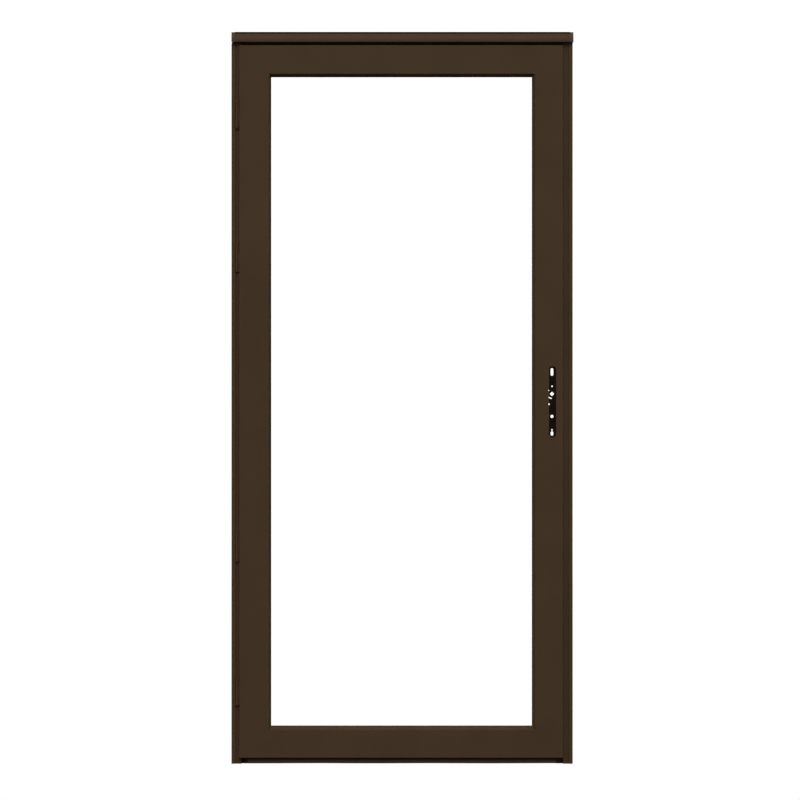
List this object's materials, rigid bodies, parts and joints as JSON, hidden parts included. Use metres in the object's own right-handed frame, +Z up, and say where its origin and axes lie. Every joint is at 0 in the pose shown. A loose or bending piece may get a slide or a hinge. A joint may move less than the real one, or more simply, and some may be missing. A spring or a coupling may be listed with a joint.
{
  "type": "storm door",
  "caption": "Full-view aluminium storm door with clear glass, hung on the left in its own outside frame with a drip cap, prepared for a lever lock.",
  "frame": {"origin": "on the back of the hinge-side flange, in the middle of the strip that bears on the casing, at its foot", "axes": "+X to the right seen from outside, +Y into the house and square to the casing, +Z up"},
  "size_m": [0.9671, 0.0542, 2.07],
  "materials": {
    "brown_powder_coat": "satin dark brown powder coat",
    "clear_glass": "clear tempered glass",
    "black_vinyl": "matt black flexible vinyl",
    "zinc_plated_steel": "zinc plated",
    "black_lock_case": "black painted steel case"
  },
  "bodies": {
    "door_frame": {"hinge_z_bar": "brown_powder_coat", "latch_z_bar": "brown_powder_coat", "header_drip_cap": "brown_powder_coat", "header_stop": "brown_powder_coat", "header_end_cap_left": "brown_powder_coat", "header_end_cap_right": "brown_powder_coat", "hinge_weatherstrip": "black_vinyl", "latch_weatherstrip": "black_vinyl", "header_weatherstrip": "black_vinyl", "strike_plate": "zinc_plated_steel", "hinge_1_frame_leaf": "brown_powder_coat", "hinge_1_pin": "zinc_plated_steel", "hinge_2_frame_leaf": "brown_powder_coat", "hinge_2_pin": "zinc_plated_steel", "hinge_3_frame_leaf": "brown_powder_coat", "hinge_3_pin": "zinc_plated_steel", "hinge_4_frame_leaf": "brown_powder_coat", "hinge_4_pin": "zinc_plated_steel"},
    "door_leaf": {"hinge_stile": "brown_powder_coat", "latch_stile": "brown_powder_coat", "top_rail": "brown_powder_coat", "bottom_rail": "brown_powder_coat", "glass_pane": "clear_glass", "glass_gasket": "black_vinyl", "bottom_expander": "brown_powder_coat", "bottom_sweep": "black_vinyl", "lock_case": "black_lock_case", "lock_faceplate": "zinc_plated_steel", "latch_bolt": "zinc_plated_steel", "dead_bolt": "zinc_plated_steel", "glass_retainer_hinge_side": "brown_powder_coat", "glass_retainer_latch_side": "brown_powder_coat", "glass_retainer_top": "brown_powder_coat", "glass_retainer_bottom": "brown_powder_coat", "hinge_1_leaf_plate": "brown_powder_coat", "hinge_2_leaf_plate": "brown_powder_coat", "hinge_3_leaf_plate": "brown_powder_coat", "hinge_4_leaf_plate": "brown_powder_coat"},
    "lock_hub": {"spindle_hub": "zinc_plated_steel"}
  },
  "joints": [
    {"name": "leaf_swing", "type": "hinge", "parent": "door_frame", "child": "door_leaf", "pos_m": [0.002, -0.01, 0], "axis": [0, 0, -1], "range_deg": [0, 110]},
    {"name": "hub_turn", "type": "hinge", "parent": "door_leaf", "child": "lock_hub", "pos_m": [0.8933, 0.003, 1.046], "axis": [0, -1, 0], "range_deg": [-45, 45], "stiffness_Nm_per_rad": 0.05}
  ]
}
